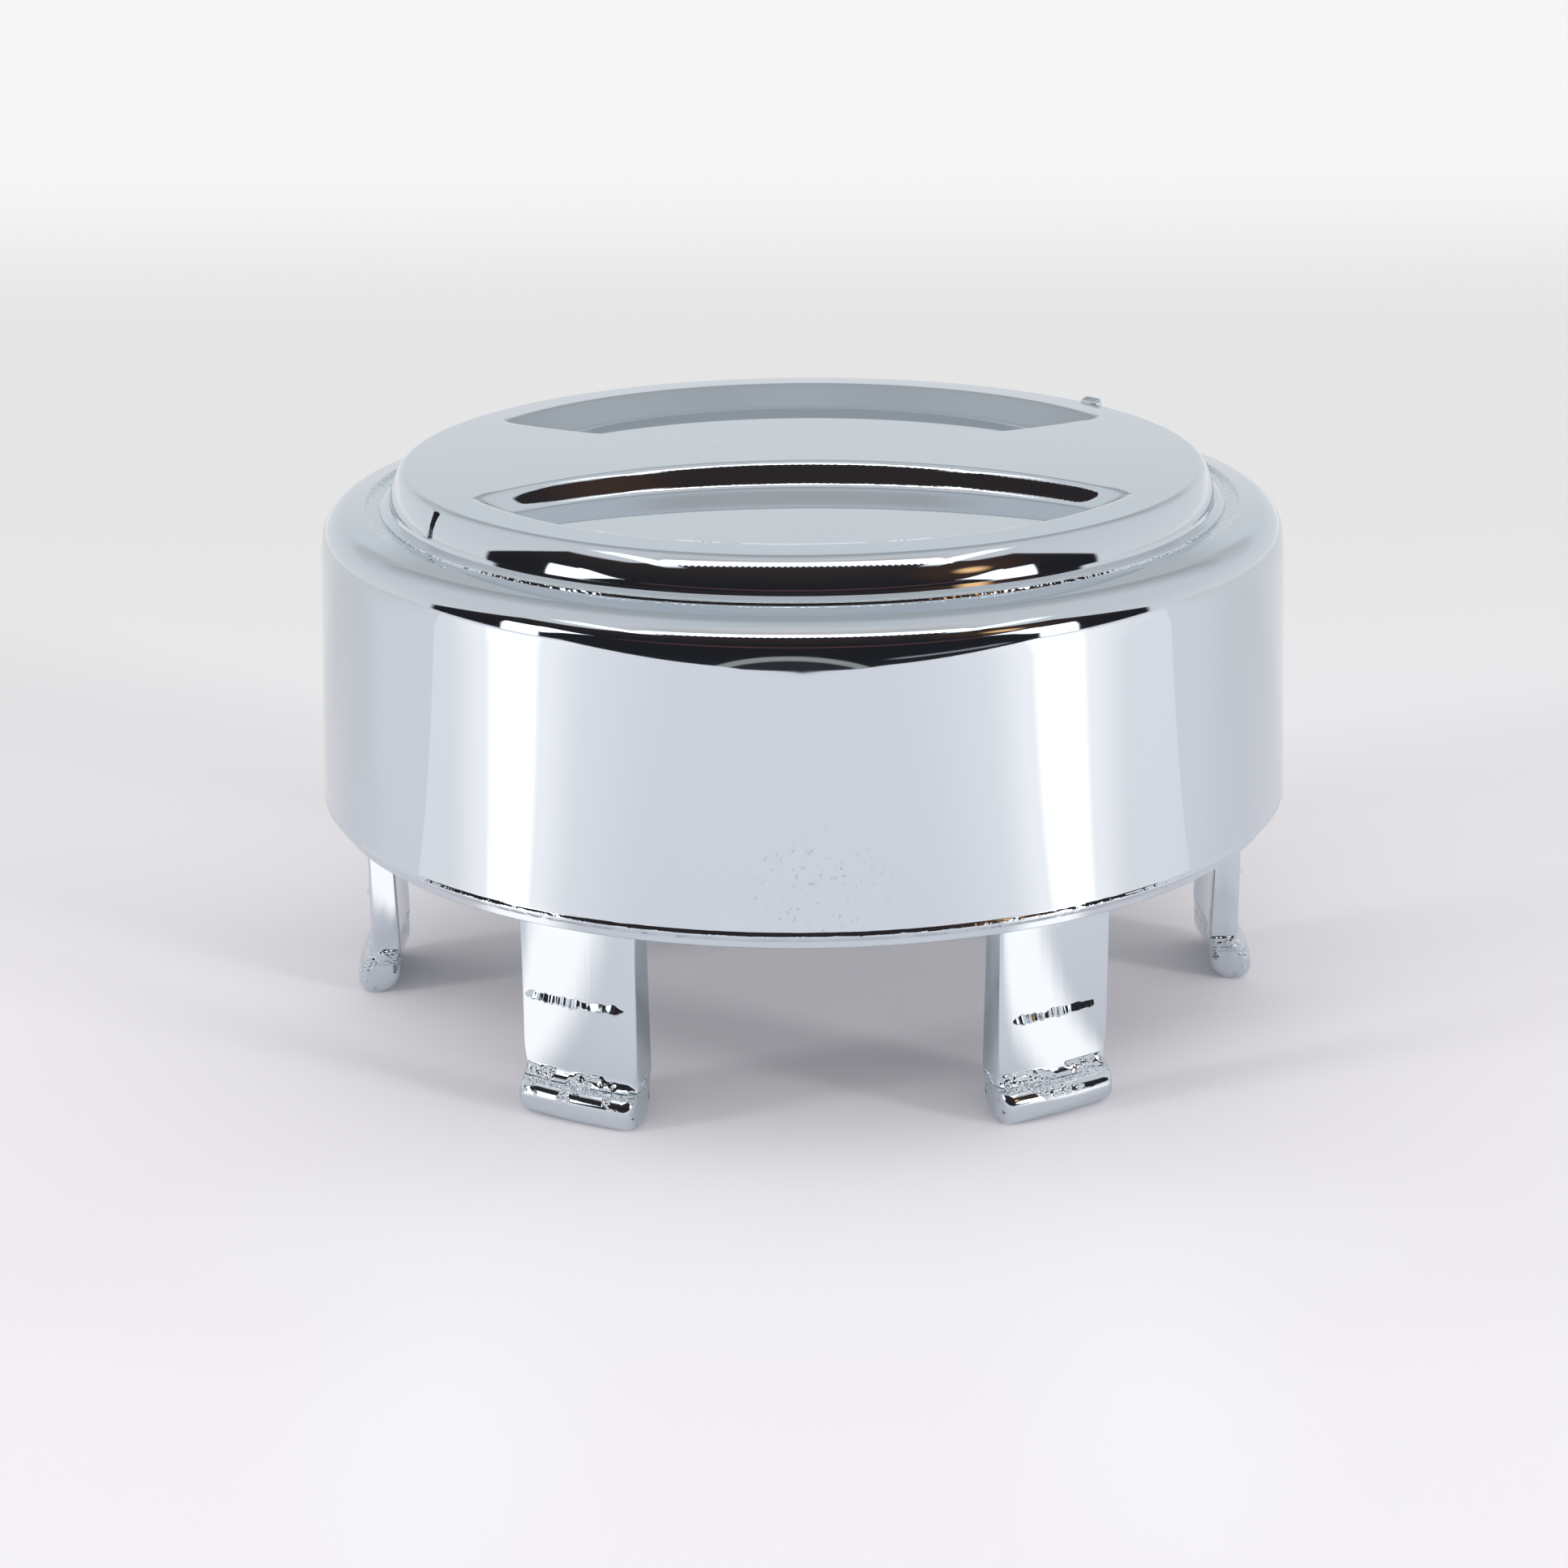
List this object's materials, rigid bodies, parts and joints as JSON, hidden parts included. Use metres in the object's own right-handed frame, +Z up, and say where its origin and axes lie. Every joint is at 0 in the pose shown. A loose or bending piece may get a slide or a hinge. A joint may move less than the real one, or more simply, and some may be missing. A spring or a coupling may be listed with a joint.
{
  "type": "wheel centre cap",
  "caption": "Round snap-in wheel cap: a bright drafted cup with a raised round face, on clip legs with rounded hooks that grip the hub bore from inside.",
  "frame": {"origin": "on the floor under the middle of the cap, level with the tips of its clip legs", "axes": "+Z up along the cap's axis towards its face, -Y towards the front of the picture, with the face's bar along X"},
  "size_m": [0.1, 0.1, 0.0564],
  "materials": {
    "bright_plating": "mirror-bright chrome plating on moulded ABS"
  },
  "bodies": {
    "root": {"cap": "bright_plating"}
  },
  "joints": []
}
